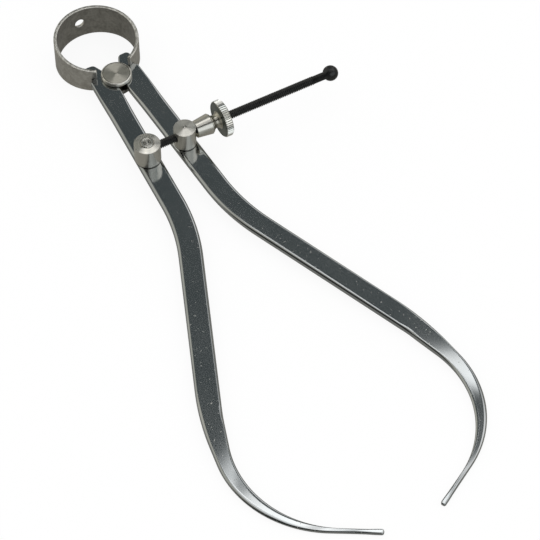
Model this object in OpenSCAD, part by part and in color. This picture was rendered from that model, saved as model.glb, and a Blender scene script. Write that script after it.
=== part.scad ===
// Spring caliper for outside measurements. Two bowed steel legs pivot on a turned stud and are sprung open by
// a C-shaped bow. A nut on a screw between two swivelling posts draws the legs together.
// The origin is the middle of the stud's lower face. +Y points to the bow, +X to the nut, +Z out of the leg faces.

/* [Opening] */
// Angle between each leg's shank and the middle line
half_opening = 3.1; // [0:0.1:12]

/* [Legs] */
// Width of the leg along the shank
leg_w = 6.1; // [5.6:0.1:8]
// Thickness of the leg
leg_t = 1.9; // [1.2:0.1:3]
// Gap between the two shanks when they stand parallel
leg_gap = 1.35; // [1:0.05:2]
// Shank, from the fulcrum to the elbow's corner
shank_l = 51.9; // [44:0.1:70]
// Turn of the leg outward at the elbow
elbow_turn = 18.9; // [12:0.1:26]
// Radius of the elbow on the leg's middle line
elbow_r = 54; // [20:1:70]
// Straight run, from the elbow's corner to the swell's corner
run_l = 56.8; // [40:0.2:80]
// Turn of the leg inward at the swell
swell_turn = 8.6; // [4:0.1:12]
// Radius of the swell on the leg's middle line
swell_r = 68; // [30:1:90]
// Width of the leg at the swell's corner
swell_w = 5.9; // [5:0.1:6]
// From the swell's corner to the hook's corner
swell_l = 31.8; // [30:0.2:40]
// Turn of the leg inward round the hook
hook_turn = 73; // [60:0.5:78]
// Radius of the hook on the leg's middle line
hook_r = 27.8; // [22:0.2:29]
// Distance between the two edges' corner points at the hook
hook_w = 0.7; // [0.4:0.1:1.2]
// From the hook's corner to the tip
tip_l = 32; // [28:0.2:36]
// Width of the tip
tip_w = 1.3; // [0.9:0.1:2]
// Thickness of the tip
tip_t = 1; // [0.6:0.1:1.2]
// Length over which the leg thins towards its tip, measured along the shank's direction
thinning_l = 44; // [20:1:60]

/* [Leg heads] */
// Height of the rounded tab above the fulcrum axis
tab_y = 6; // [5.4:0.1:7.2]
// Corner radius of the tab
tab_r = 1.2; // [0.6:0.1:1.25]
// Slant of the tab's inner edge, which limits how far the legs open
relief_angle = 28; // [24:0.5:32]
// Height of the bow notch's lower corner on the leg's outer edge, above the fulcrum axis
notch_y = 0.9; // [0.2:0.1:1.2]
// Rounding of the bow notch's lower corner
notch_r = 0.7; // [0.2:0.1:0.9]

/* [Bow spring] */
// Outer diameter of the bow
bow_d = 21.8; // [19:0.2:28]
// Thickness of the strip
bow_t = 0.9; // [0.6:0.05:1.2]
// Height of the strip at the crown
crown_h = 9.8; // [7.5:0.1:12]
// Height of the strip at the forks
fork_h = 6.9; // [5:0.1:7.4]
// Distance between the ends of the two forks
fork_gap = 9.1; // [8.6:0.1:9.6]
// Height of the forks' ends above the fulcrum axis
fork_y = 1.9; // [1.6:0.1:2.2]
// Depth of the slot in each fork
fork_depth = 1.3; // [0.8:0.1:1.6]
// Diameter of the hole in the crown
crown_hole_d = 2.7; // [1.5:0.1:4]

/* [Fulcrum stud] */
// Diameter of the stud's heads
head_d = 7.9; // [7:0.1:8.6]
// Height of each head
head_h = 1.2; // [1.1:0.1:2]
// Rounding of each head's two rims
head_round = 0.5; // [0.1:0.05:0.55]
// Diameter of the stud between its heads
core_d = 4.3; // [3.6:0.1:4.8]

/* [Posts] */
// Distance of the posts from the fulcrum, along the shank
post_l = 28.1; // [24:0.1:34]
// Diameter of the anchor post
anchor_d = 6.7; // [5.6:0.1:7.2]
// Height of the anchor post's rim above the leg
anchor_h = 5.7; // [5.2:0.1:7]
// Height of the shallow cone on the anchor post
anchor_cone_h = 0.3; // [0.1:0.05:0.8]
// Diameter of the raised boss that the cone runs up to
boss_d = 3.4; // [2:0.1:4]
// Height of the raised boss
boss_h = 0.15; // [0.1:0.05:0.4]
// Diameter of the ring cut into the boss
ring_d = 1.6; // [1:0.1:1.8]
// Depth of the ring cut into the boss
ring_h = 0.1; // [0.05:0.01:0.2]
// Diameter of the guide post
guide_d = 5.6; // [4.6:0.1:6.2]
// Height of the guide post's rim above the leg
guide_h = 5.7; // [5.2:0.1:7]
// Height of the shallow cone on the guide post
guide_cone_h = 0.4; // [0.1:0.05:0.8]
// Diameter of the posts' shanks in the legs
post_shank_d = 3.2; // [2.4:0.1:3.6]
// Diameter of the peened tails below the legs
tail_d = 4.6; // [4:0.1:5]
// Height of the peened tails
tail_h = 0.6; // [0.4:0.1:1]

/* [Screw] */
// Diameter of the screw over its thread
screw_d = 2.2; // [1.6:0.1:2.6]
// Height of the screw's axis above the legs
screw_h = 3.4; // [2.8:0.1:3.8]
// Length of the screw from the anchor post's axis to the ball's centre
screw_l = 51.9; // [42:0.1:70]
// Depth of the screw's end past the anchor post's axis
screw_seat = 2; // [1:0.1:2.4]
// Diameter of the ball on the screw's end
ball_d = 4; // [3:0.1:6]
// Length of the plain neck behind the ball
ball_neck_l = 2.6; // [2:0.1:6]
// Diameter of the plain neck behind the ball
ball_neck_d = 2; // [1.4:0.1:2.2]

/* [Nut] */
// Diameter of the nose where it meets the guide post
nose_d = 4.4; // [4:0.1:5]
// Diameter of the nose at its back
nose_back_d = 5.4; // [5:0.1:6]
// Length of the nose
nose_l = 4.3; // [3:0.1:6]
// Chamfer round the back of the nose
nose_chamfer = 0.3; // [0.1:0.05:0.5]
// Depth of the cupped seat in the nose
cup_h = 0.6; // [0.3:0.1:1]
// Diameter of the cupped seat at its mouth
cup_d = 3.6; // [3:0.1:3.8]
// Smallest diameter of the neck
neck_d = 3.4; // [3:0.1:4]
// Length of the neck
neck_l = 2.3; // [1.5:0.1:3]
// Diameter of the knurled disc
disc_d = 9.6; // [8:0.1:13]
// Thickness of the knurled disc
disc_l = 2; // [1.4:0.1:3]
// Chamfer round the knurled disc
disc_chamfer = 0.3; // [0.1:0.05:0.5]
// Number of ribs round the disc
knurl_ribs = 50; // [30:1:72]
// Depth of the knurl
knurl_depth = 0.25; // [0.1:0.05:0.35]

/* [Fits] */
// Clearance of a part that turns or slides in another
running_clear = 0.05; // [0.02:0.01:0.1]
// Clearance of the screw in the guide post
guide_clear = 0.1; // [0.05:0.01:0.1]
// Clearance round the bow's strip in the legs
bow_clear = 0.08; // [0.04:0.01:0.15]
// Gap between the nut's nose and the guide post
nose_clear = 0.1; // [0.05:0.01:0.3]

/* [Hidden] */

$fn = 96;
// Overshoot that lets a cut pass clear through a face
through = 1;

// Heights, from the stud's lower face
leg_z = head_h + running_clear;
leg_top_z = leg_z + leg_t;
leg_mid_z = leg_z + leg_t / 2;
screw_z = leg_top_z + screw_h;
stud_h = leg_top_z + running_clear + head_h;

// The leg's middle line, with its shank along -Y
leg_in = leg_gap / 2;
leg_out = leg_in + leg_w;
leg_x = leg_in + leg_w / 2;
run_heading = elbow_turn;
swell_heading = run_heading - swell_turn;
tip_heading = swell_heading - hook_turn;
elbow_p = [leg_x, -shank_l];
swell_p = elbow_p + run_l * along(run_heading);
hook_p = swell_p + swell_l * along(swell_heading);
tip_p = hook_p + tip_l * along(tip_heading);
// Corner radius of the tip, a little less than a full round
tip_roundness = 0.96;
tip_r = tip_roundness * tip_w / 2;

// The posts' place on the opened right leg
post_x = leg_x * cos(half_opening) + post_l * sin(half_opening);
post_y = leg_x * sin(half_opening) - post_l * cos(half_opening);

// The bow
bow_r = bow_d / 2;
bow_in_r = bow_r - bow_t;
bow_mid_r = bow_r - bow_t / 2;
bow_y = fork_y + sqrt(pow(bow_mid_r, 2) - pow(fork_gap / 2, 2));
fork_angle = asin(fork_gap / 2 / bow_mid_r);
slot_angle = fork_angle + fork_depth / bow_mid_r * 180 / PI;
clear_angle = bow_clear / bow_mid_r * 180 / PI;
slot_h = leg_t + 2 * bow_clear;
// Distance past the leg's edge at which the rounding of the bow notch ends
run_out = 0.05;

// The nut, along the screw from the guide post
nose_x = post_x + guide_d / 2 + nose_clear;
ball_x = screw_l - post_x;

steel = "#43484a";
spring_steel = "#77746b";
turned_steel = "#9a968a";
black_steel = "#262626";

// A point one step along a heading, counted from -Y towards +X
function along(heading) = [sin(heading), -cos(heading)];

// The direction square to a heading, out of the leg's outer edge
function across(heading) = [cos(heading), sin(heading)];

// An edge's corner beside a bend of the middle line; side is 1 on the outer edge and -1 on the inner
function beside(p, side, width, heading, turn) =
    p + side * width / 2 / cos(turn / 2) * across(heading + turn / 2);

function unit(v) = v / norm(v);

// Half the angle between the two edges that meet at b
function half_angle(a, b, c) = acos(unit(a - b) * unit(c - b)) / 2;

// The two points where an arc of radius r leaves the edges that meet at b
function arc_ends(a, b, c, r) =
    let (reach = r / tan(half_angle(a, b, c)))
    [b + reach * unit(a - b), b + reach * unit(c - b)];

// The centre of that arc
function arc_centre(a, b, c, r) =
    b + unit(unit(a - b) + unit(c - b)) * r / sin(half_angle(a, b, c));

// A point of the bow's ring; the angle opens from the fulcrum's side
function ring_point(radius, angle) = [radius * sin(angle), bow_y - radius * cos(angle)];

// True where the outline, followed anticlockwise, bulges outward at b
function bulges(a, b, c) = cross(b - a, c - b) > 0;

// The sliver between a rounded corner's arc and its chord
module arc_segment(a, b, c, r) {
    ends = arc_ends(a, b, c, r);
    lift = b - (ends[0] + ends[1]) / 2;
    intersection() {
        translate(arc_centre(a, b, c, r)) circle(r);
        polygon([ends[0], ends[1], ends[1] + lift, ends[0] + lift]);
    }
}

// A polygon of [point, corner radius] pairs, anticlockwise, with true arcs at its corners
module soft_polygon(corners) {
    n = len(corners);
    p = [for (corner = corners) corner[0]];
    r = [for (corner = corners) corner[1]];
    before = [for (i = [0:n - 1]) p[(i + n - 1) % n]];
    after = [for (i = [0:n - 1]) p[(i + 1) % n]];
    difference() {
        union() {
            polygon([
                for (i = [0:n - 1])
                    each r[i] > 0 ? arc_ends(before[i], p[i], after[i], r[i]) : [p[i]]
            ]);
            for (i = [0:n - 1])
                if (r[i] > 0 && bulges(before[i], p[i], after[i]))
                    arc_segment(before[i], p[i], after[i], r[i]);
        }
        for (i = [0:n - 1])
            if (r[i] > 0 && !bulges(before[i], p[i], after[i]))
                arc_segment(before[i], p[i], after[i], r[i]);
    }
}

// The leg's flat outline, from the tip up the outer edge and down the inner one
module leg_outline() {
    soft_polygon([
        [tip_p + tip_w / 2 * across(tip_heading), tip_r],
        [beside(hook_p, 1, hook_w, swell_heading, -hook_turn), hook_r + hook_w / 2],
        [beside(swell_p, 1, swell_w, run_heading, -swell_turn), swell_r + swell_w / 2],
        [beside(elbow_p, 1, leg_w, 0, elbow_turn), elbow_r - leg_w / 2],
        [[leg_out, tab_y], tab_r],
        [[leg_in + tab_y * tan(relief_angle), tab_y], tab_r],
        [[leg_in, 0], 0],
        [beside(elbow_p, -1, leg_w, 0, elbow_turn), elbow_r + leg_w / 2],
        [beside(swell_p, -1, swell_w, run_heading, -swell_turn), swell_r - swell_w / 2],
        [beside(hook_p, -1, hook_w, swell_heading, -hook_turn), hook_r - hook_w / 2],
        [tip_p - tip_w / 2 * across(tip_heading), tip_r]
    ]);
}

// The leg seen edge-on, thinning towards the tip on both faces
module leg_side() {
    thin_y = tip_p[1] + thinning_l;
    slope = (leg_t - tip_t) / 2 / thinning_l;
    end_y = tip_p[1] - through;
    end_t = tip_t - 2 * slope * through;
    rotate([90, 0, 90])
        linear_extrude(hook_p[0] + leg_w)
            polygon([
                [tab_y + through, leg_z],
                [tab_y + through, leg_top_z],
                [thin_y, leg_top_z],
                [end_y, leg_mid_z + end_t / 2],
                [end_y, leg_mid_z - end_t / 2],
                [thin_y, leg_z]
            ]);
}

// A wedge from the bow's centre down over the forks
module bow_wedge(angle) {
    reach = 2 * bow_r;
    translate([0, bow_y])
        polygon([[0, 0], [-reach * sin(angle), -reach * cos(angle)], [reach * sin(angle), -reach * cos(angle)]]);
}

// What is cut off to round the outward corner b
module corner_waste(a, b, c, r) {
    ends = arc_ends(a, b, c, r);
    outward = unit(2 * b - a - c);
    difference() {
        polygon([ends[0], b + through * outward, ends[1]]);
        translate(arc_centre(a, b, c, r)) circle(r);
    }
}

// The room that the bow's strip takes in the leg, outside the fork's slot
module bow_notch() {
    seat_angle = slot_angle - clear_angle;
    open_angle = 3 * slot_angle / 2;
    seat = ring_point(bow_r, seat_angle);
    corner = (leg_out + run_out) * across(half_opening) - notch_y * along(half_opening);
    difference() {
        translate([0, bow_y]) circle(bow_r + bow_clear);
        translate([0, bow_y]) circle(bow_in_r - bow_clear);
        bow_wedge(seat_angle);
        translate([-2 * bow_r, -bow_r]) square([2 * bow_r, 4 * bow_r]);
    }
    polygon([seat, corner, corner + [through, 0], ring_point(bow_r, open_angle)]);
    corner_waste(seat, corner, corner + along(half_opening), notch_r);
}

// The right leg, opened to its place
module leg() {
    difference() {
        rotate([0, 0, half_opening])
            intersection() {
                translate([0, 0, leg_z]) linear_extrude(leg_t) leg_outline();
                leg_side();
            }
        translate([0, 0, leg_z - through])
            linear_extrude(leg_t + 2 * through) {
                circle(core_d / 2 + running_clear);
                translate([post_x, post_y]) circle(post_shank_d / 2 + running_clear);
                bow_notch();
            }
    }
}

module right_leg() {
    color(steel) leg();
}

module left_leg() {
    color(steel) mirror([1, 0, 0]) leg();
}

// The strip seen from the side, higher at the crown than at the forks
module bow_side() {
    near_y = bow_y - bow_r - through;
    far_y = bow_y + bow_r + through;
    spread = (crown_h - fork_h) / bow_d * through;
    near_h = fork_h - spread;
    far_h = crown_h + spread;
    rotate([90, 0, 90])
        translate([0, leg_mid_z])
            linear_extrude(bow_d + 2 * through, center = true)
                polygon([[near_y, -near_h / 2], [far_y, -far_h / 2], [far_y, far_h / 2], [near_y, near_h / 2]]);
}

module bow_spring() {
    color(spring_steel)
        difference() {
            intersection() {
                translate([0, 0, leg_mid_z - crown_h])
                    linear_extrude(2 * crown_h)
                        difference() {
                            translate([0, bow_y]) circle(bow_r);
                            translate([0, bow_y]) circle(bow_in_r);
                            bow_wedge(fork_angle);
                        }
                bow_side();
            }
            translate([0, 0, leg_mid_z - slot_h / 2]) linear_extrude(slot_h) bow_wedge(slot_angle);
            translate([0, bow_y, leg_mid_z]) rotate([-90, 0, 0]) cylinder(d = crown_hole_d, h = bow_d);
        }
}

// A spool: two heads with rounded rims on a plain core
module fulcrum_stud() {
    head_r = head_d / 2;
    core_r = core_d / 2;
    color(turned_steel)
        rotate_extrude()
            soft_polygon([
                [[0, 0], 0],
                [[head_r, 0], head_round],
                [[head_r, head_h], head_round],
                [[core_r, head_h], 0],
                [[core_r, stud_h - head_h], 0],
                [[head_r, stud_h - head_h], head_round],
                [[head_r, stud_h], head_round],
                [[0, stud_h], 0]
            ]);
}

// A post's shank through the leg, with its tail peened over below
module post_tail() {
    tail_top = leg_z - running_clear;
    translate([0, 0, tail_top]) cylinder(d = post_shank_d, h = leg_t + 3 * running_clear);
    translate([0, 0, tail_top - tail_h]) cylinder(d1 = post_shank_d, d2 = tail_d, h = tail_h);
}

// A hole along the screw's axis, from x0 to x1 past the post's own axis
module screw_hole(clear, x0, x1) {
    translate([x0, 0, screw_z]) rotate([0, 90, 0]) cylinder(d = screw_d + 2 * clear, h = x1 - x0);
}

module anchor_post() {
    seat_z = leg_top_z + running_clear;
    rim_z = leg_top_z + anchor_h;
    cone_z = rim_z + anchor_cone_h;
    top_z = cone_z + boss_h;
    anchor_r = anchor_d / 2;
    boss_r = boss_d / 2;
    ring_r = ring_d / 2;
    color(turned_steel)
        translate([-post_x, post_y])
            difference() {
                union() {
                    post_tail();
                    rotate_extrude()
                        polygon([
                            [0, seat_z],
                            [anchor_r, seat_z],
                            [anchor_r, rim_z],
                            [boss_r, cone_z],
                            [boss_r - boss_h, top_z],
                            [ring_r + ring_h, top_z],
                            [ring_r, top_z - ring_h],
                            [ring_r - ring_h, top_z],
                            [0, top_z]
                        ]);
                }
                screw_hole(running_clear / 2, -screw_seat, anchor_r + through);
            }
}

module guide_post() {
    seat_z = leg_top_z + running_clear;
    rim_z = leg_top_z + guide_h;
    guide_r = guide_d / 2;
    color(turned_steel)
        translate([post_x, post_y])
            difference() {
                union() {
                    post_tail();
                    rotate_extrude()
                        polygon([[0, seat_z], [guide_r, seat_z], [guide_r, rim_z], [0, rim_z + guide_cone_h]]);
                }
                screw_hole(guide_clear, -guide_r - through, guide_r + through);
            }
}

module adjusting_screw() {
    neck_x = ball_x - ball_d / 2 - ball_neck_l;
    rod_x = -post_x - screw_seat;
    color(black_steel)
        translate([0, post_y, screw_z])
            rotate([0, 90, 0]) {
                translate([0, 0, rod_x]) cylinder(d = screw_d, h = neck_x - rod_x);
                translate([0, 0, neck_x - through]) cylinder(d = ball_neck_d, h = ball_x - neck_x + through);
                translate([0, 0, ball_x]) sphere(d = ball_d);
            }
}

// The nose, a cone that widens away from the post and ends in a chamfer
module nose_profile() {
    back_r = nose_back_d / 2;
    polygon([
        [0, 0],
        [nose_d / 2, 0],
        [back_r, nose_l - nose_chamfer],
        [back_r - nose_chamfer, nose_l],
        [0, nose_l]
    ]);
}

// The neck, hollowed between the nose and the disc in one round sweep
module neck_profile() {
    difference() {
        square([nose_back_d / 2 - nose_chamfer, neck_l]);
        translate([neck_d / 2 + neck_l / 2, neck_l / 2]) circle(neck_l / 2);
    }
}

// The disc's straight ribs, chamfered at both ends
module knurled_disc() {
    disc_r = disc_d / 2;
    rib_angle = 360 / knurl_ribs;
    intersection() {
        linear_extrude(disc_l)
            polygon([
                for (i = [0:knurl_ribs - 1])
                    each [
                        disc_r * [cos(i * rib_angle), sin(i * rib_angle)],
                        (disc_r - knurl_depth) * [cos((i + 0.5) * rib_angle), sin((i + 0.5) * rib_angle)]
                    ]
            ]);
        rotate_extrude()
            polygon([
                [0, 0],
                [disc_r - disc_chamfer, 0],
                [disc_r + knurl_depth, disc_chamfer + knurl_depth],
                [disc_r + knurl_depth, disc_l - disc_chamfer - knurl_depth],
                [disc_r - disc_chamfer, disc_l],
                [0, disc_l]
            ]);
    }
}

module adjusting_nut() {
    disc_z = nose_l + neck_l;
    color(turned_steel)
        translate([nose_x, post_y, screw_z])
            rotate([0, 90, 0])
                difference() {
                    union() {
                        rotate_extrude() nose_profile();
                        translate([0, 0, nose_l]) rotate_extrude() neck_profile();
                        translate([0, 0, disc_z]) knurled_disc();
                    }
                    translate([0, 0, -through])
                        cylinder(d = screw_d + 2 * running_clear, h = disc_z + disc_l + 2 * through);
                    cylinder(d1 = cup_d, d2 = screw_d, h = cup_h);
                }
}

bow_spring();
left_leg();
right_leg();
fulcrum_stud();
anchor_post();
guide_post();
adjusting_screw();
adjusting_nut();
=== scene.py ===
"""The spring caliper on its CAD frame, dressed for a studio picture.

Sizes are in millimetres until they reach a mesh, a material or the camera.
"""

import math

import bmesh
import bpy
from mathutils import Matrix, Vector


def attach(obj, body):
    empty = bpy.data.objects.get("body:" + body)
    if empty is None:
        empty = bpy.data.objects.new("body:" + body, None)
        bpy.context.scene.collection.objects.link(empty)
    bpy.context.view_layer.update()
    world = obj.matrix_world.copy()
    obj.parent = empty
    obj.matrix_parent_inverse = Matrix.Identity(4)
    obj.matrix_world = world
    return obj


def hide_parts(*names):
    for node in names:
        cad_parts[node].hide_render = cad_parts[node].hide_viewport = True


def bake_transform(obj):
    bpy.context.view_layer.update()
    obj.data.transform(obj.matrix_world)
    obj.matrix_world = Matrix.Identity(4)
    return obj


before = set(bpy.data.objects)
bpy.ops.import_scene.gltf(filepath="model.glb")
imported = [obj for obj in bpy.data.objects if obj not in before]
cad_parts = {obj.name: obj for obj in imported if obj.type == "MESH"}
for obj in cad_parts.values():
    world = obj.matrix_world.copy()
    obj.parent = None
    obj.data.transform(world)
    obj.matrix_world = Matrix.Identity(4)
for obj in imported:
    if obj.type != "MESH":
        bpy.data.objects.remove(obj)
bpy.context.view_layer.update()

MM = 0.001

# Heights, from the stud's lower face
HEAD_H = 1.2
RUN_CLEAR = 0.05
LEG_T = 1.9
LEG_Z = HEAD_H + RUN_CLEAR
LEG_TOP = LEG_Z + LEG_T
LEG_MID = LEG_Z + LEG_T / 2

# The leg's middle line: a shank, an elbow, a run, a swell, a hook and a tip
HALF_OPENING = math.radians(3.1)
LEG_W, LEG_GAP = 6.1, 1.35
LEG_IN = LEG_GAP / 2
LEG_OUT = LEG_IN + LEG_W
LEG_X = LEG_IN + LEG_W / 2
SHANK_L, RUN_L, SWELL_L, SOLID_TIP_L = 51.9, 56.8, 31.8, 32.0
ELBOW_TURN, SWELL_TURN, HOOK_TURN = math.radians(18.9), math.radians(8.6), math.radians(73)
ELBOW_R, SWELL_R, HOOK_R = 54, 68, 27.8
SWELL_W, HOOK_W, TIP_W = 5.9, 0.7, 1.3

# The tips stop a little short of the solids', so that the meshes clear each other when the legs close
TIP_CLEAR = 0.12
TIP_L = SOLID_TIP_L - TIP_CLEAR

# The blade thins from a place along its length, slowly at first, and its hook leans down to its outer edge
TIP_T = 1.0
THIN_Y, THINNING_L, THINNING_EASE = -104.0, 28.5, 1.6
HOOK_LEAN, LEAN_Y, LEAN_L = math.radians(3), -123.0, 11.0

# The rounding of the leg's edges: it grows from head to blade, and gives way where the blade is narrow
EDGE_R, HEAD_EDGE_R, EDGE_STEPS = 0.9, 0.4, 6
EDGE_GROWTH_L = 8.0
EDGE_SHARE, EDGE_LESS, EDGE_LEAST = 0.6, 0.5, 0.2

# The seam between head and blade, and the flat strip that is kept beside a rounded edge
SEAM_Y = -4.6
SUPPORT = 0.12

# Sections of the blade: in each straight stretch, round each bend, along the tip and round its end
STRAIGHT_STEPS, BEND_STEPS, TIP_STEPS = 16, (24, 12, 48), 20
END_STEPS, END_DEGREES = 8, 10

# The leg's head: a rounded tab, a notch for the bow and a hollow for the stud's core
TAB_Y, TAB_R = 6.0, 1.2
RELIEF = math.radians(28)
NOTCH_Y, NOTCH_R = 0.9, 0.7
CORE_D = 4.3
CORE_R = CORE_D / 2 + RUN_CLEAR

# The bow
BOW_R, BOW_T = 10.9, 0.9
CROWN_H, FORK_H = 9.8, 6.9
FORK_GAP, FORK_Y, FORK_DEPTH = 9.1, 1.9, 1.3
CROWN_HOLE_R = 1.35
BOW_CLEAR = 0.08
BOW_EDGE_R, BOW_EDGE_STEPS = 0.14, 3
BOW_MID_R = BOW_R - BOW_T / 2
BOW_Y = FORK_Y + math.sqrt(BOW_MID_R**2 - (FORK_GAP / 2) ** 2)
FORK_ANGLE = math.asin(FORK_GAP / 2 / BOW_MID_R)
SLOT_ANGLE = FORK_ANGLE + FORK_DEPTH / BOW_MID_R
SLOT_HALF = LEG_T / 2 + BOW_CLEAR

# Steps along the rolled strip, and the narrow first one beside the seam at the crown
BOW_STATIONS, SEAM_STRIP = 60, 0.02

# The posts and the stud's scored ring
POST_L, GUIDE_D = 28.1, 5.6
POST_X = LEG_X * math.cos(HALF_OPENING) + POST_L * math.sin(HALF_OPENING)
POST_Y = LEG_X * math.sin(HALF_OPENING) - POST_L * math.cos(HALF_OPENING)
STUD_RING_R = 3.45

# The screw and the nut
SCREW_H, SCREW_R, SCREW_SEAT, SCREW_L = 3.4, 1.1, 1.9, 51.9
SCREW_Z = LEG_TOP + SCREW_H
PITCH, THREAD_H, THREAD_STEPS = 0.5, 0.26, 32
BALL_X = SCREW_L - POST_X
BALL_R, BALL_STEPS, BALL_RINGS = 2.0, 48, 32
NECK_R, NECK_L = 1.0, 2.6
NECK_X = BALL_X - BALL_R - NECK_L
NOSE_CLEAR, NOSE_L, NUT_NECK_L = 0.1, 4.3, 2.3
DISC_X = POST_X + GUIDE_D / 2 + NOSE_CLEAR + NOSE_L + NUT_NECK_L
DISC_R, KNURL_H = 4.8, 0.25

# Distances that count as none, the angle of a sharp edge, and the cosines of a flat and of a facing face
NEAR, WELD, BLADE_WELD = 1e-4, 1e-3, 5e-3
SHARP = math.radians(50)
FLAT, FACING = 0.999, 0.9

# The floor's size, and its small gap under the crown and the tips
FLOOR_SIZE, FLOOR_CLEAR = 900, 0.02

# Light in the steel's reflections, where 1 is white
SPOT = (2.2, 2.2, 2.2, 1.0)
SOFTBOX = (1.2, 1.2, 1.2, 1.0)
FRONT_LAMP = (1.1, 1.15, 1.18, 1.0)

# Level directions in the room: its front, where the photograph's camera stood, and the right of that view
FRONT, ASIDE = (-0.463, -0.886, 0), (0.886, -0.463, 0)


def srgb(code):
    """A hex colour as linear RGBA."""
    parts = [int(code[i : i + 2], 16) / 255 for i in (1, 3, 5)]
    return (*[p / 12.92 if p <= 0.04045 else ((p + 0.055) / 1.055) ** 2.4 for p in parts], 1.0)


def per(size):
    """A pattern's scale from the size of its marks in millimetres."""
    return 1 / (size * MM)


def add(tree, kind, settings=None, **inputs):
    """One shader node with its settings and inputs.

    An input goes by its label, or by its place as i0, i1 or i2.
    It is a value, a socket or a node, which stands for its first output.
    """
    node = tree.nodes.new("ShaderNode" + kind)
    for key, value in (settings or {}).items():
        if key != "stops":
            setattr(node, key, value)
            continue
        while len(node.color_ramp.elements) < len(value):
            node.color_ramp.elements.new(1)
        for element, (place, code) in zip(node.color_ramp.elements, value):
            element.position = place
            element.color = srgb(code)
    for key, value in inputs.items():
        socket = node.inputs[int(key[1:])] if key[1:].isdigit() else node.inputs[key.replace("_", " ")]
        if isinstance(value, bpy.types.Node):
            value = value.outputs[0]
        if isinstance(value, bpy.types.NodeSocket):
            tree.links.new(value, socket)
        else:
            socket.default_value = value
    return node


def blank(name):
    """A new material and its empty node tree."""
    made = bpy.data.materials.new(name)
    made.use_nodes = True
    made.node_tree.nodes.clear()
    return made, made.node_tree


def leg_steel():
    """Mirror-polished tool steel: dark where it mirrors the dim room, with pale specks.

    The specks sit on a grain of 0.7 mm and show more towards the tips. Faint clouds are 16 mm across.
    """
    made, tree = blank("polished leg steel")
    where = add(tree, "TexCoord").outputs["Object"]
    grit = add(tree, "TexNoise", None, Vector=where, Scale=per(0.7), Detail=1.0)
    patch = add(tree, "TexNoise", None, Vector=where, Scale=per(16), Detail=1.0)
    speck = add(tree, "ValToRGB", {"stops": [(0.7, "#000000"), (0.74, "#ffffff")]}, Fac=grit)
    place = add(tree, "SeparateXYZ", None, Vector=where).outputs["Y"]
    few, many = -40 * MM, -110 * MM
    often = add(tree, "MapRange", None, Value=place, From_Min=few, From_Max=many, To_Min=0.2, To_Max=0.9)
    amount = add(tree, "Math", {"operation": "MULTIPLY"}, i0=speck, i1=often)
    cloud = add(tree, "ValToRGB", {"stops": [(0.3, "#aeb2b3"), (0.7, "#bec0c0")]}, Fac=patch)
    steel = add(tree, "BsdfPrincipled", None, Base_Color=cloud, Metallic=1.0, Roughness=0.11)
    dust = add(tree, "BsdfPrincipled", None, Base_Color=srgb("#b9bab6"), Metallic=0.6, Roughness=0.5)
    mixed = add(tree, "MixShader", None, i0=amount, i1=steel, i2=dust)
    add(tree, "OutputMaterial", None, Surface=mixed)
    return made


def bow_steel(name, dark, light):
    """Satin spring steel: a dull grey, with handling blotches of 3 mm and a grain of 0.7 mm."""
    made, tree = blank(name)
    where = add(tree, "TexCoord").outputs["Object"]
    blotch = add(tree, "TexNoise", None, Vector=where, Scale=per(3), Detail=4.0)
    grain = add(tree, "TexNoise", None, Vector=where, Scale=per(0.7), Detail=3.0)
    both = add(tree, "Math", {"operation": "ADD"}, i0=blotch, i1=grain)
    mottle = add(tree, "Math", {"operation": "MULTIPLY"}, i0=both, i1=0.5)
    tint = add(tree, "ValToRGB", {"stops": [(0.4, dark), (0.6, light)]}, Fac=mottle)
    rough = add(tree, "MapRange", None, Value=blotch, To_Min=0.3, To_Max=0.46)
    bump = add(tree, "Bump", None, Strength=0.15, Distance=0.05 * MM, Height=grain)
    steel = add(tree, "BsdfPrincipled", None, Base_Color=tint, Metallic=1.0, Roughness=rough, Normal=bump)
    add(tree, "OutputMaterial", None, Surface=steel)
    return made


def rim_steel():
    """The strip's worn edges: brighter than its faces, with nicks of 0.8 mm."""
    made, tree = blank("worn rim steel")
    where = add(tree, "TexCoord").outputs["Object"]
    nick = add(tree, "TexNoise", None, Vector=where, Scale=per(0.8), Detail=4.0)
    tint = add(tree, "ValToRGB", {"stops": [(0.35, "#a9a69d"), (0.65, "#dedcd5")]}, Fac=nick)
    bump = add(tree, "Bump", None, Strength=0.3, Distance=0.05 * MM, Height=nick)
    steel = add(tree, "BsdfPrincipled", None, Base_Color=tint, Metallic=1.0, Roughness=0.36, Normal=bump)
    add(tree, "OutputMaterial", None, Surface=steel)
    return made


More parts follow.
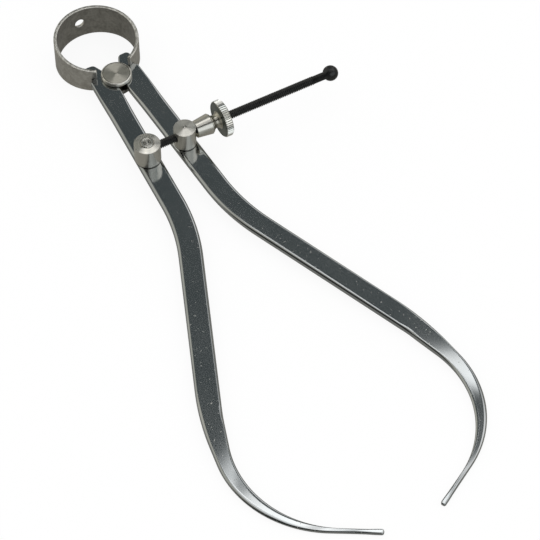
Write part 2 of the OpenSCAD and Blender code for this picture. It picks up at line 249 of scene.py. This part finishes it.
def turned_steel(name, centre, axis, rough, foot=0.0, below=0.0, shade_tint="#302d29", scores=(), worn=0.0):
    """Lathe-turned bright steel: fine rings round its axis draw the light into two fans.

    The tool marks are drawn 0.14 mm apart, coarser than real ones, so that they show.
    Painted shade darkens the steel between the legs, and farther down by a given height below them. It
    clears over the foot's height.
    Scored rings show as thin dark lines, and the steel is duller inside the worn radius.
    """
    made, tree = blank(name)
    where = add(tree, "TexCoord").outputs["Object"]
    way = Vector((1, 0, 0)) if axis == "X" else Vector((0, 0, 1))
    off = add(tree, "VectorMath", {"operation": "SUBTRACT"}, i0=where, i1=Vector(centre) * MM)
    travel = add(tree, "VectorMath", {"operation": "DOT_PRODUCT"}, i0=off, i1=way).outputs["Value"]
    flat = add(tree, "VectorMath", {"operation": "MULTIPLY"}, i0=off, i1=Vector((1, 1, 1)) - way)
    radius = add(tree, "VectorMath", {"operation": "LENGTH"}, i0=flat).outputs["Value"]
    sweep = add(tree, "Math", {"operation": "ADD"}, i0=radius, i1=travel)
    groove = add(tree, "TexNoise", {"noise_dimensions": "1D"}, W=sweep, Scale=per(0.14), Detail=2.0)
    tint = add(tree, "ValToRGB", {"stops": [(0.3, "#d0cdc4"), (0.7, "#e6e4dc")]}, Fac=groove)
    bump = add(tree, "Bump", None, Strength=0.1, Distance=0.02 * MM, Height=groove)
    ring = add(tree, "Tangent", {"direction_type": "RADIAL", "axis": axis})
    margin, score_half_w = 0.02, 0.07
    # Painted shade between the legs: the steel turns to the shade tint there and clears over the foot's
    # height
    if foot:
        rise = add(tree, "Math", {"operation": "SUBTRACT"}, i0=travel, i1=LEG_MID * MM)
        under = add(tree, "Math", {"operation": "SUBTRACT"}, i0=-below * MM, i1=rise)
        apart = add(tree, "Math", {"operation": "MAXIMUM"}, i0=rise, i1=under)
        low = LEG_T / 2 + RUN_CLEAR + margin
        unshaded = add(tree, "MapRange", None, Value=apart, From_Min=low * MM, From_Max=(low + foot) * MM)
        tint = add(tree, "MixRGB", None, i0=unshaded, i1=srgb(shade_tint), i2=tint)
    if worn:
        top = add(tree, "Math", {"operation": "LESS_THAN"}, i0=radius, i1=worn * MM)
        tint = add(tree, "MixRGB", {"blend_type": "MULTIPLY"}, i0=top, i1=tint, i2=srgb("#ebe9e4"))
    for score in scores:
        line = add(tree, "Math", {"operation": "COMPARE"}, i0=radius, i1=score * MM, i2=score_half_w * MM)
        tint = add(tree, "MixRGB", None, i0=line, i1=tint, i2=srgb("#6a665d"))
    steel = add(
        tree,
        "BsdfPrincipled",
        None,
        Base_Color=tint,
        Metallic=1.0,
        Roughness=rough,
        Anisotropic=0.9,
        Anisotropic_Rotation=0.25,
        Normal=bump,
        Tangent=ring,
    )
    add(tree, "OutputMaterial", None, Surface=steel)
    return made, steel, travel, radius


def nut_steel():
    """The nut's turned steel, with painted light: shade in the knurl's grooves, highlights on its crests,
    shade on the neck and on the disc's face.
    """
    made, steel, travel, radius = turned_steel("turned nut steel", (DISC_X, POST_Y, SCREW_Z), "X", 0.3)
    tree = made.node_tree
    margin, neck_end = 0.02 * MM, 0.05 * MM
    low, high = (DISC_R - KNURL_H) * MM, DISC_R * MM
    # The knurl: painted shade in the grooves between the ribs and a painted highlight on their crests
    crest = add(tree, "MapRange", None, Value=radius, From_Min=low, From_Max=high)
    painted_rib_light = add(tree, "ValToRGB", {"stops": [(0.1, "#5c5b53"), (0.4, "#fbfaf4")]}, Fac=crest)
    on_rim = add(tree, "Math", {"operation": "GREATER_THAN"}, i0=radius, i1=low - margin)
    bright = steel.inputs["Base Color"].links[0].from_socket
    ribs_painted = add(tree, "MixRGB", None, i0=on_rim, i1=bright, i2=painted_rib_light)
    # Painted shade on the disc's face towards the post
    painted_shade_face_mask = add(tree, "Math", {"operation": "COMPARE"}, i0=travel, i1=0.0, i2=margin)
    face_shaded = add(tree, "MixRGB", None, i0=painted_shade_face_mask, i1=ribs_painted, i2=srgb("#6e746f"))
    # Painted shade on the neck, sunk between the nose and the disc
    half = NUT_NECK_L / 2 * MM
    painted_shade_neck_mask = add(tree, "Math", {"operation": "COMPARE"}, i0=travel, i1=-half, i2=half - neck_end)
    neck_shaded = add(tree, "MixRGB", None, i0=painted_shade_neck_mask, i1=face_shaded, i2=srgb("#c9c5b9"))
    tree.links.new(neck_shaded.outputs[0], steel.inputs["Base Color"])
    return made


def black_steel():
    """Blackened steel: nearly black in blotches of 0.7 mm, with a soft oily sheen."""
    made, tree = blank("blackened steel")
    where = add(tree, "TexCoord").outputs["Object"]
    blotch = add(tree, "TexNoise", None, Vector=where, Scale=per(0.7), Detail=3.0)
    tint = add(tree, "ValToRGB", {"stops": [(0.35, "#1a1b1b"), (0.7, "#303131")]}, Fac=blotch)
    steel = add(tree, "BsdfPrincipled", None, Base_Color=tint, Metallic=0.3, Roughness=0.32)
    add(tree, "OutputMaterial", None, Surface=steel)
    return made


def floor_white():
    """White paper: white to the eye with a faint shadow, and a calm grey in the steel's reflections."""
    made, tree = blank("white floor")
    seen = add(tree, "LightPath").outputs["Is Camera Ray"]
    paper = add(tree, "BsdfDiffuse", None, Color=srgb("#6c6c6c"))
    glow = add(tree, "MixRGB", None, i0=seen, i1=srgb("#7b7a74"), i2=srgb("#f3f3f3"))
    lit = add(tree, "AddShader", None, i0=paper, i1=add(tree, "Emission", None, Color=glow))
    add(tree, "OutputMaterial", None, Surface=lit)
    return made


def piece(name, bm, mats, body=None, replaced=None):
    """A finished mesh from a bmesh in millimetres, riding on a CAD body."""
    bmesh.ops.recalc_face_normals(bm, faces=bm.faces)
    bmesh.ops.scale(bm, vec=(MM, MM, MM), verts=bm.verts)
    for face in bm.faces:
        face.smooth = True
    mesh = bpy.data.meshes.new(name)
    bm.to_mesh(mesh)
    bm.free()
    for mat in mats:
        mesh.materials.append(mat)
    obj = bpy.data.objects.new(name, mesh)
    bpy.context.scene.collection.objects.link(obj)
    if body:
        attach(obj, body)
    if replaced:
        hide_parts(replaced)
    return obj


def along(heading):
    """A step along a heading, counted from -Y towards +X."""
    return Vector((math.sin(heading), -math.cos(heading)))


def across(heading):
    """A step square to a heading, out of the leg's outer edge."""
    return Vector((math.cos(heading), math.sin(heading)))


def ring_point(radius, angle):
    """A point of the bow's ring in plan; the angle opens from the fulcrum's side."""
    return Vector((radius * math.sin(angle), BOW_Y - radius * math.cos(angle)))


def arc(centre, start, end, step=0.7, least=8):
    """Points round a centre from start to end, the short way, about a step apart."""
    turn = (start - centre).angle_signed(end - centre)
    count = max(least, round(abs(turn) * (start - centre).length / step))
    return [centre + Matrix.Rotation(-turn * k / count, 2) @ (start - centre) for k in range(count + 1)]


def bend_ends(a, b, c, r):
    """The centre of the arc that rounds the corner b, and the points where it leaves the two lines."""
    to_a, to_c = (a - b).normalized(), (c - b).normalized()
    half = to_a.angle(to_c) / 2
    reach = r / math.tan(half)
    return b + (to_a + to_c).normalized() * (r / math.sin(half)), b + to_a * reach, b + to_c * reach


def rounded(corners):
    """A closed outline from (corner, radius) pairs, with an arc at each corner that has a radius."""
    points = []
    for (a, _), (b, r), (c, _) in zip(corners[-1:] + corners[:-1], corners, corners[1:] + corners[:1]):
        points += arc(*bend_ends(a, b, c, r)) if r else [b]
    return points


# The corners of the leg's middle line, with its shank along -Y
RUN_HEADING = ELBOW_TURN
SWELL_HEADING = RUN_HEADING - SWELL_TURN
TIP_HEADING = SWELL_HEADING - HOOK_TURN
ELBOW_P = Vector((LEG_X, -SHANK_L))
SWELL_P = ELBOW_P + along(RUN_HEADING) * RUN_L
HOOK_P = SWELL_P + along(SWELL_HEADING) * SWELL_L
TIP_P = HOOK_P + along(TIP_HEADING) * TIP_L


def blade_edge(side):
    """One edge of the blade from the head's seam to the tip, in steps that pair with the other edge's."""

    def bend(p, width, heading, turn, r):
        corner = p + across(heading + turn / 2) * (side * width / 2 / math.cos(turn / 2))
        return corner, r - side * math.copysign(width / 2, turn)

    start = (Vector((LEG_X + side * LEG_W / 2, SEAM_Y)), 0)
    bends = [
        bend(ELBOW_P, LEG_W, 0, ELBOW_TURN, ELBOW_R),
        bend(SWELL_P, SWELL_W, RUN_HEADING, -SWELL_TURN, SWELL_R),
        bend(HOOK_P, HOOK_W, SWELL_HEADING, -HOOK_TURN, HOOK_R),
    ]
    end = (TIP_P - along(TIP_HEADING) * (TIP_W / 2) + across(TIP_HEADING) * (side * TIP_W / 2), 0)
    corners = [start] + bends + [end]
    points = [start[0]]
    for (a, _), (b, r), (c, _), steps in zip(corners, corners[1:], corners[2:], BEND_STEPS):
        centre, leave, meet = bend_ends(a, b, c, r)
        points += [points[-1].lerp(leave, k / STRAIGHT_STEPS) for k in range(1, STRAIGHT_STEPS)]
        points += arc(centre, leave, meet, step=math.inf, least=steps)
    return points + [points[-1].lerp(end[0], k / TIP_STEPS) for k in range(1, TIP_STEPS + 1)]


def head_outline():
    """The right leg's head in plan: up its outer edge, round notch, tab and core, and along the seam."""
    closed = Matrix.Rotation(-HALF_OPENING, 2)
    seat = SLOT_ANGLE - BOW_CLEAR / BOW_MID_R
    wall_r = BOW_R - BOW_T - BOW_CLEAR
    bow_centre = closed @ Vector((0, BOW_Y))
    wall_end = Vector((LEG_OUT, bow_centre.y - math.sqrt(wall_r**2 - (LEG_OUT - bow_centre.x) ** 2)))
    wall = arc(bow_centre, closed @ ring_point(wall_r, seat), wall_end)
    tab_in = Vector((LEG_IN + TAB_Y * math.tan(RELIEF), TAB_Y))
    slant = Vector((math.sin(RELIEF), math.cos(RELIEF)))
    foot = Vector((LEG_IN, 0))
    reach = -foot.dot(slant) + math.sqrt(foot.dot(slant) ** 2 - LEG_IN**2 + CORE_R**2)
    core_end = Vector((LEG_IN, -math.sqrt(CORE_R**2 - LEG_IN**2)))
    core = arc(Vector((0, 0)), foot + slant * reach, core_end, step=0.25)
    head = [(Vector((LEG_OUT, SEAM_Y)), 0), (Vector((LEG_OUT, NOTCH_Y)), NOTCH_R)]
    head += [(p, 0) for p in [closed @ ring_point(BOW_R + BOW_CLEAR, seat)] + wall]
    head += [(Vector((LEG_OUT, TAB_Y)), TAB_R), (tab_in, TAB_R)]
    margin = HEAD_EDGE_R + SUPPORT
    seam = [Vector((x, SEAM_Y)) for x in (LEG_IN, LEG_IN + margin, LEG_OUT - margin)]
    head += [(p, 0) for p in core + seam]
    return rounded(head)


def plate(outline, place):
    """A flat face of an outline, set by a place matrix."""
    bm = bmesh.new()
    bm.faces.new([bm.verts.new(place @ Vector((*p, 0))) for p in outline])
    return bm


def cut_across(bm, normal, places):
    """Cuts a mesh by a row of planes square to a normal."""
    for place in places:
        geom = bm.verts[:] + bm.edges[:] + bm.faces[:]
        bmesh.ops.bisect_plane(bm, geom=geom, dist=WELD, plane_co=Vector(normal) * place, plane_no=normal)


def thicken(bm, step):
    """Grows flat faces into a plate by one step."""
    grown = bmesh.ops.extrude_face_region(bm, geom=bm.faces[:])["geom"]
    verts = [v for v in grown if isinstance(v, bmesh.types.BMVert)]
    bmesh.ops.translate(bm, vec=step, verts=verts)


def round_edges(bm, radius, steps, flat):
    """Rounds a plate's edges but not its open seam, and keeps its flat faces flat to the light."""
    bmesh.ops.recalc_face_normals(bm, faces=bm.faces)
    sharp = [e for e in bm.edges if len(e.link_faces) == 2 and e.calc_face_angle() > SHARP]
    rims = [e for e in sharp if abs((e.verts[0].co - e.verts[1].co).dot(flat)) < NEAR]
    bmesh.ops.bevel(bm, geom=rims, offset=radius, segments=steps, profile=0.5, affect="EDGES", material=-1)
    bmesh.ops.recalc_face_normals(bm, faces=bm.faces)
    for e in bm.edges:
        e.smooth = len({abs(f.normal.dot(flat)) > FLAT for f in e.link_faces}) == 1


def section(outer, inner, thickness, radius, lean):
    """A blade's section as a loop of places: a rounded bar between two points, lower at the outer one."""
    half, reach = (outer - inner).length / 2, (outer - inner).normalized()
    middle = (outer + inner) / 2
    rise = min(radius, thickness / 2)
    flat, wall = half - radius, thickness / 2 - rise
    angles = [math.pi / 2 * k / EDGE_STEPS for k in range(EDGE_STEPS + 1)]
    corner = [(flat + radius * math.sin(a), wall + rise * math.cos(a)) for a in angles]
    quarter = [(flat - min(SUPPORT, flat / 2), thickness / 2)] + corner
    right = quarter + [(a, -z) for a, z in quarter[::-1]]
    loop = right + [(-a, z) for a, z in right[::-1]]
    return [(*(middle + reach * a), z - lean * a) for a, z in loop]


def leg_mesh(side):
    """One leg: a plate for its head, and a blade bridged through sections that thin to the tip."""
    bm = plate(head_outline(), Matrix.Translation((0, 0, -LEG_T / 2)))
    thicken(bm, (0, 0, LEG_T))
    seam = [f for f in bm.faces if max(v.co.y for v in f.verts) < SEAM_Y + NEAR]
    bmesh.ops.delete(bm, geom=seam, context="FACES_ONLY")
    round_edges(bm, HEAD_EDGE_R, EDGE_STEPS, Vector((0, 0, 1)))

    rings = list(zip(blade_edge(1), blade_edge(-1)))
    tip_o, tip_i = rings[-1]
    for k in range(1, END_STEPS + 1):
        turn = math.radians(END_DEGREES * k)
        middle = (tip_o + tip_i) / 2 + along(TIP_HEADING) * (math.sin(turn) * TIP_W / 2)
        reach = (tip_o - tip_i) / 2 * math.cos(turn)
        rings.append((middle + reach, middle - reach))
    last = None
    for outer, inner in rings:
        y = (outer.y + inner.y) / 2
        fall = min(1, max(0, (THIN_Y - y) / THINNING_L)) ** THINNING_EASE
        thickness = LEG_T - (LEG_T - TIP_T) * (1 - math.cos(math.pi * fall)) / 2
        lean = math.tan(HOOK_LEAN) * min(1, max(0, (LEAN_Y - y) / LEAN_L))
        width = (outer - inner).length
        growth = min(1, (SEAM_Y - y) / EDGE_GROWTH_L)
        room = max(EDGE_LEAST * width, EDGE_SHARE * width - EDGE_LESS)
        radius = min(HEAD_EDGE_R + (EDGE_R - HEAD_EDGE_R) * growth, room)
        verts = [bm.verts.new(p) for p in section(outer, inner, min(thickness, width), radius, lean)]
        loop = [bm.edges.new(pair) for pair in zip(verts, verts[1:] + verts[:1])]
        if last:
            bmesh.ops.bridge_loops(bm, edges=last + loop)
        last = loop
    bmesh.ops.edgenet_fill(bm, edges=last)
    bmesh.ops.remove_doubles(bm, verts=bm.verts, dist=BLADE_WELD)
    bmesh.ops.delete(bm, geom=[e for e in bm.edges if not e.link_faces], context="EDGES")
    for e in bm.edges:
        e.smooth = e.smooth and max(abs(v.co.y - SEAM_Y) for v in e.verts) > WELD
    bmesh.ops.rotate(bm, matrix=Matrix.Rotation(HALF_OPENING, 3, "Z"), verts=bm.verts)
    bmesh.ops.translate(bm, vec=(0, 0, LEG_MID), verts=bm.verts)
    bmesh.ops.scale(bm, vec=(side, 1, 1), verts=bm.verts)
    return bm


def bow_half(side):
    """Half of the bow, cut out as a flat strip with its half hole and its slot, then rolled round."""
    end = (math.pi - FORK_ANGLE) * BOW_MID_R
    slot = (math.pi - SLOT_ANGLE) * BOW_MID_R
    rolled = [slot * k / BOW_STATIONS for k in range(1, BOW_STATIONS + 1)]
    stations = [SEAM_STRIP] + rolled + [(slot + end) / 2]

    def half_height(s):
        mid_y = BOW_MID_R * math.cos(s / BOW_MID_R)
        return (FORK_H + (CROWN_H - FORK_H) * (mid_y + BOW_R) / (2 * BOW_R)) / 2

    edge = [Vector((s, half_height(s))) for s in [0] + stations + [end]]
    upper_slot = [Vector((end, SLOT_HALF)), Vector((slot, SLOT_HALF))]
    hole = arc(Vector((0, 0)), Vector((0, CROWN_HOLE_R)), Vector((CROWN_HOLE_R, 0)), step=0.2)
    upper = hole[::-1] + edge + upper_slot
    lower = [Vector((p.x, -p.y)) for p in upper[::-1]]
    bm = plate(upper + lower[:-1], Matrix.Rotation(math.pi / 2, 4, "X"))
    cut_across(bm, (1, 0, 0), stations)
    thicken(bm, (0, BOW_T, 0))
    bmesh.ops.recalc_face_normals(bm, faces=bm.faces)
    past_slot = 2.0
    for face in bm.faces:
        on_rim = abs(face.normal.z) > FACING and abs(face.calc_center_median().z) > past_slot
        # Inner faces take the third material, a darker copy of the bow steel with painted shade
        face.material_index = 1 if on_rim else 2 if face.normal.y < -FACING else 0
    seam = [f for f in bm.faces if max(v.co.x for v in f.verts) < NEAR]
    bmesh.ops.delete(bm, geom=seam, context="FACES_ONLY")
    round_edges(bm, BOW_EDGE_R, BOW_EDGE_STEPS, Vector((0, 1, 0)))
    for v in bm.verts:
        angle = math.pi - v.co.x / BOW_MID_R
        flat = ring_point(BOW_R - BOW_T + v.co.y, angle)
        v.co = (side * flat.x, flat.y, LEG_MID + v.co.z)
    return bm


def turn_on_screw(bm, profile, steps, pitch=0.0):
    """Turns a profile of (x, radius) points once round the screw's axis, moving it on by a pitch."""
    verts = [bm.verts.new((x, POST_Y, SCREW_Z + r)) for x, r in profile]
    edges = [bm.edges.new(pair) for pair in zip(verts, verts[1:])]
    bmesh.ops.spin(
        bm,
        geom=verts + edges,
        cent=(0, POST_Y, SCREW_Z),
        axis=(1, 0, 0),
        dvec=(pitch / steps, 0, 0),
        angle=2 * math.pi,
        steps=steps,
        use_merge=pitch == 0,
    )


def screw_mesh():
    """The rod with its fine right-hand thread, the plain neck and the ball."""
    bm = bmesh.new()
    start = -POST_X - SCREW_SEAT
    turns = int((NECK_X - start) / PITCH) - 1
    root = SCREW_R - THREAD_H
    # One tooth, as shares of the pitch with their radii
    tooth = [(0, root), (0.15, root), (0.45, SCREW_R), (0.7, SCREW_R)]
    thread = [(start + (k + share) * PITCH, r) for k in range(turns) for share, r in tooth]
    last = start + turns * PITCH
    turn_on_screw(bm, [(start, 0)] + thread + [(last, root), (last, 0)], THREAD_STEPS, PITCH)
    bmesh.ops.remove_doubles(bm, verts=bm.verts, dist=WELD)
    bmesh.ops.holes_fill(bm, edges=[e for e in bm.edges if e.is_boundary])
    span = math.pi - math.asin(NECK_R / BALL_R)
    sweep = [span - span * k / BALL_RINGS for k in range(BALL_RINGS)]
    ball = [(BALL_X + BALL_R * math.cos(a), BALL_R * math.sin(a)) for a in sweep]
    turn_on_screw(bm, [(last, 0), (last, NECK_R)] + ball + [(BALL_X + BALL_R, 0)], BALL_STEPS)
    bmesh.ops.remove_doubles(bm, verts=bm.verts, dist=WELD)
    return bm


def show():
    """Every piece in its finish, with the legs and the screw on their bodies."""
    legs, rim, black = leg_steel(), rim_steel(), black_steel()
    outside = bow_steel("satin bow steel", "#b9b6af", "#d3d1cb")
    # The inner faces take a darker copy of the bow steel: painted shade
    inside = bow_steel("inner bow steel with painted shade", "#918f8a", "#aeaca7")
    piece("left_leg_blade", leg_mesh(-1), [legs], "left_leg", "left_leg")
    piece("right_leg_blade", leg_mesh(1), [legs], "right_leg", "right_leg")
    for side, name in ((-1, "left"), (1, "right")):
        half = piece(f"bow_{name}_half", bow_half(side), [outside, rim, inside])
        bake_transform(half)
        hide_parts("bow_spring")
    piece("threaded_screw", screw_mesh(), [black], "screw", "adjusting_screw")

    stud, anchor, guide = (0, 0, 0), (-POST_X, POST_Y, 0), (POST_X, POST_Y, 0)
    # Painted shade on the stud's core between the legs, reaching farther down its lower head
    stud_painted_shade = {"foot": 0.15, "below": 0.9, "shade_tint": "#77756f"}
    stud_marks = {"scores": (STUD_RING_R,), "worn": STUD_RING_R}
    # Both posts take painted shade where they pass between the legs, in the dark default tint
    anchor_marks_and_shade = {"foot": 0.4, "scores": (0.45, 0.8, 1.7)}
    guide_marks_and_shade = {"foot": 0.4, "scores": (0.4,)}
    finishes = {
        "fulcrum_stud": turned_steel("turned stud steel", stud, "Z", 0.3, **stud_painted_shade, **stud_marks)[0],
        "anchor_post": turned_steel("turned anchor steel", anchor, "Z", 0.26, **anchor_marks_and_shade)[0],
        "guide_post": turned_steel("turned guide steel", guide, "Z", 0.3, **guide_marks_and_shade)[0],
        "adjusting_nut": nut_steel(),
    }
    for name, finish in finishes.items():
        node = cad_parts[name]
        node.data.materials.clear()
        node.data.materials.append(finish)


def lay_floor():
    """The floor, tilted so that the bow's crown and the two tips rest on it."""
    crown = Vector((0, BOW_Y + BOW_R, LEG_MID - CROWN_H / 2))
    tips = Vector((0, TIP_P.y, LEG_MID - TIP_T / 2))
    slope = (tips.z - crown.z) / (tips.y - crown.y)
    bm = bmesh.new()
    bmesh.ops.create_grid(bm, x_segments=1, y_segments=1, size=FLOOR_SIZE)
    for v in bm.verts:
        v.co.z = crown.z + slope * (v.co.y - crown.y) - FLOOR_CLEAR
    piece("floor", bm, [floor_white()])


def sky(elevation, azimuth):
    """A direction in the room; the azimuth turns from +Y towards +X."""
    e, a = math.radians(elevation), math.radians(azimuth)
    return Vector((math.cos(e) * math.sin(a), math.cos(e) * math.cos(a), math.sin(e)))


def light_room():
    """The room: white to the eye, and in the steel a dim studio with a pale left side and a dark front.

    A softbox hangs high at the back. Small spots, a side lamp and front lamps give the highlights.
    """
    world = bpy.data.worlds.new("studio")
    bpy.context.scene.world = world
    world.use_nodes = True
    room = world.node_tree
    room.nodes.clear()
    look = add(room, "TexCoord").outputs["Generated"]
    dot, smooth = {"operation": "DOT_PRODUCT"}, {"interpolation_type": "SMOOTHSTEP"}

    # The walls, from the floor's level to straight above
    level = add(room, "SeparateXYZ", None, Vector=look).outputs["Z"]
    tones = [(0.0, "#a8a69d"), (0.3, "#8b8a83"), (0.6, "#585e5f"), (0.9, "#585e5f"), (1.0, "#a8abaa")]
    back = add(room, "ValToRGB", {"stops": tones}, Fac=level)
    front = add(room, "VectorMath", dot, i0=look, i1=FRONT).outputs["Value"]
    aside = add(room, "VectorMath", dot, i0=look, i1=ASIDE).outputs["Value"]
    ahead = add(room, "MapRange", smooth, Value=front, From_Min=-0.05, From_Max=0.3)
    left = add(room, "MapRange", smooth, Value=aside, From_Min=-0.25, From_Max=-0.6)
    sides = add(room, "MixRGB", None, i0=left, i1=back, i2=srgb("#d6d4ca"))
    shown = add(room, "MixRGB", None, i0=ahead, i1=sides, i2=srgb("#333533"))

    # The softbox's limits, each a measure with where the light is out and where it is full
    limits = [(front, 0.35, 0.2), (aside, -0.55, -0.25), (aside, 0.55, 0.25), (level, 0.992, 0.965)]
    # Its two slanting edges, each through two directions
    edges = (
        (sky(56.3, 34), sky(64, 26), -0.02, 0.03),
        (sky(56.5, 36.5), sky(58.3, 42.5), -0.03, 0.02),
    )
    for first, second, out, full in edges:
        edge = first.cross(second).normalized()
        over = add(room, "VectorMath", dot, i0=look, i1=edge if edge.z > 0 else -edge).outputs["Value"]
        limits.append((over, out, full))
    soft = 1.0
    for value, out, full in limits:
        inside = add(room, "MapRange", smooth, Value=value, From_Min=out, From_Max=full)
        soft = add(room, "Math", {"operation": "MULTIPLY"}, i0=soft, i1=inside)
    shown = add(room, "MixRGB", None, i0=soft, i1=shown, i2=SOFTBOX)

    # The lamps, each a place, the cosines of the angles where it is out and where it is full, and a light
    lamps = (
        # High at the back, for the hooks
        (sky(64, 20), 0.9954, 0.9986, SPOT),
        (sky(65, 31), 0.997, 0.999, SPOT),
        (sky(60, 38.5), 0.9966, 0.999, SPOT),
        # Low at the back and half-way up on the right
        (sky(28, 52), 0.965, 0.985, srgb("#ffffff")),
        (sky(48, 90), 0.9, 0.96, SOFTBOX),
        # Low, round the front right
        (sky(24, 147), 0.88, 0.95, srgb("#f3fbff")),
        (sky(25, 180), 0.86, 0.94, FRONT_LAMP),
        # Nearly overhead, for the turned tops and the nut's nose
        (sky(76, 345), 0.965, 0.985, SOFTBOX),
        (sky(76, 12), 0.9954, 0.9986, SPOT),
    )
    for place, out, full, colour in lamps:
        toward = add(room, "VectorMath", dot, i0=look, i1=place).outputs["Value"]
        lamp = add(room, "MapRange", smooth, Value=toward, From_Min=out, From_Max=full)
        shown = add(room, "MixRGB", None, i0=lamp, i1=shown, i2=colour)

    path = add(room, "LightPath")
    calm = add(room, "MixRGB", None, i0=path.outputs["Is Glossy Ray"], i1=srgb("#d8d8d8"), i2=shown)
    final = add(room, "MixRGB", None, i0=path.outputs["Is Camera Ray"], i1=calm, i2=srgb("#ffffff"))
    add(room, "OutputWorld", None, Surface=add(room, "Background", None, Color=final, Strength=1.0))


def set_camera():
    """The camera, as found from the photograph."""
    elevation, azimuth, roll = math.radians(53.303), math.radians(-27.577), math.radians(-0.939)
    distance = 755.684
    target = Vector((0, -81.303, LEG_TOP))
    level = Vector((math.sin(azimuth), -math.cos(azimuth), 0))
    toward = level * math.cos(elevation) + Vector((0, 0, math.sin(elevation)))
    lens = bpy.data.cameras.new("camera")
    lens.sensor_width = 36
    lens.lens = 209.45
    lens.shift_x, lens.shift_y = 0.00313, 0.0574
    lens.clip_start, lens.clip_end = 0.01, 20
    camera = bpy.data.objects.new("camera", lens)
    bpy.context.scene.collection.objects.link(camera)
    camera.rotation_mode = "QUATERNION"
    camera.location = (target + toward * distance) * MM
    lean = Matrix.Rotation(roll, 3, "Z").to_quaternion()
    camera.rotation_quaternion = (-toward).to_track_quat("-Z", "Y") @ lean
    bpy.context.scene.camera = camera


set_camera()
show()
lay_floor()
light_room()
bpy.context.scene.view_settings.view_transform = "Standard"
